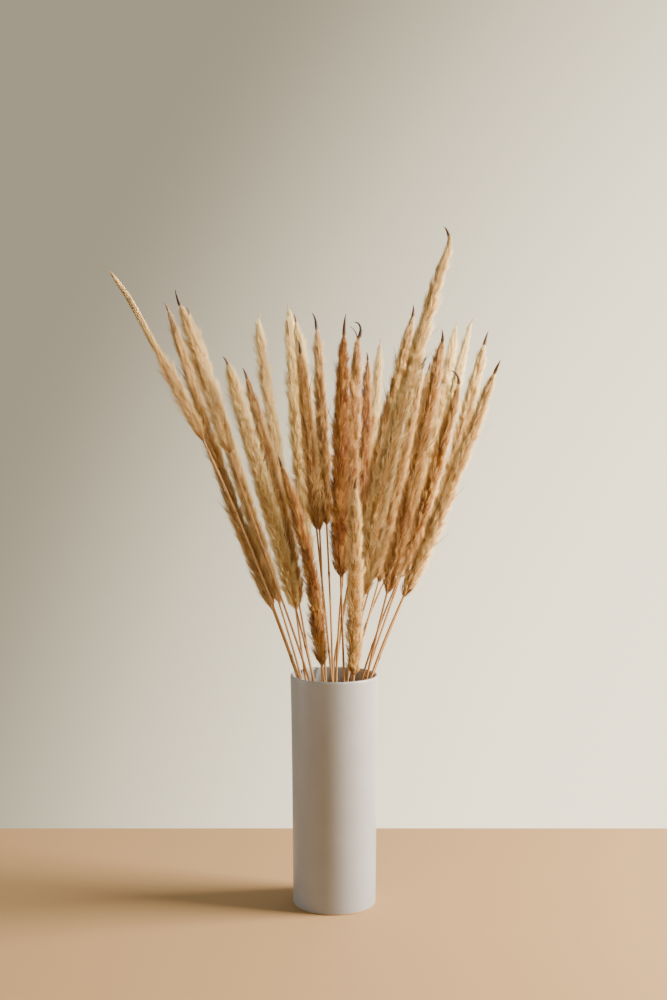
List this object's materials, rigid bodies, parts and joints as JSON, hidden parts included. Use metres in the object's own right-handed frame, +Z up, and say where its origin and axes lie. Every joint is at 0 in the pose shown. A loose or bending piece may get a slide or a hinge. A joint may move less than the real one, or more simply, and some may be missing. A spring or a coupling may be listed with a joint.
{
  "type": "dried pampas grass bunch in a vase",
  "caption": "Bunch of dried pampas grass with narrow soft plumes, standing in a tall white glazed ceramic cylinder vase.",
  "frame": {"origin": "centre of the vase's flat base, on the surface it stands on", "axes": "+Z up along the vase's axis; -Y towards the side that is seen first; +X to the right from there"},
  "size_m": [0.3921, 0.3116, 0.7132],
  "materials": {
    "glaze": null,
    "stalk": "dry tan-brown grass stem with fine lengthwise grain",
    "plume": "soft silky grass fibre, caramel brown with pale straw tips"
  },
  "bodies": {
    "root": {"vase": "glaze", "stalk_01": "stalk", "stalk_02": "stalk", "stalk_03": "stalk", "stalk_04": "stalk", "stalk_05": "stalk", "stalk_06": "stalk", "stalk_07": "stalk", "stalk_08": "stalk", "stalk_09": "stalk", "stalk_10": "stalk", "stalk_11": "stalk", "stalk_12": "stalk", "stalk_13": "stalk", "stalk_14": "stalk", "stalk_15": "stalk", "stalk_16": "stalk", "stalk_17": "stalk", "stalk_18": "stalk", "stalk_19": "stalk", "stalk_20": "stalk", "stalk_21": "stalk", "stalk_22": "stalk", "stalk_23": "stalk", "stalk_24": "stalk", "stalk_25": "stalk", "stalk_26": "stalk", "stalk_27": "stalk", "plume_01": "plume", "plume_02": "plume", "plume_03": "plume", "plume_04": "plume", "plume_05": "plume", "plume_06": "plume", "plume_07": "plume", "plume_08": "plume", "plume_09": "plume", "plume_10": "plume", "plume_11": "plume", "plume_12": "plume", "plume_13": "plume", "plume_14": "plume", "plume_15": "plume", "plume_16": "plume", "plume_17": "plume", "plume_18": "plume", "plume_19": "plume", "plume_20": "plume", "plume_21": "plume", "plume_22": "plume", "plume_23": "plume", "plume_24": "plume", "plume_25": "plume", "plume_26": "plume", "plume_27": "plume"}
  },
  "joints": []
}
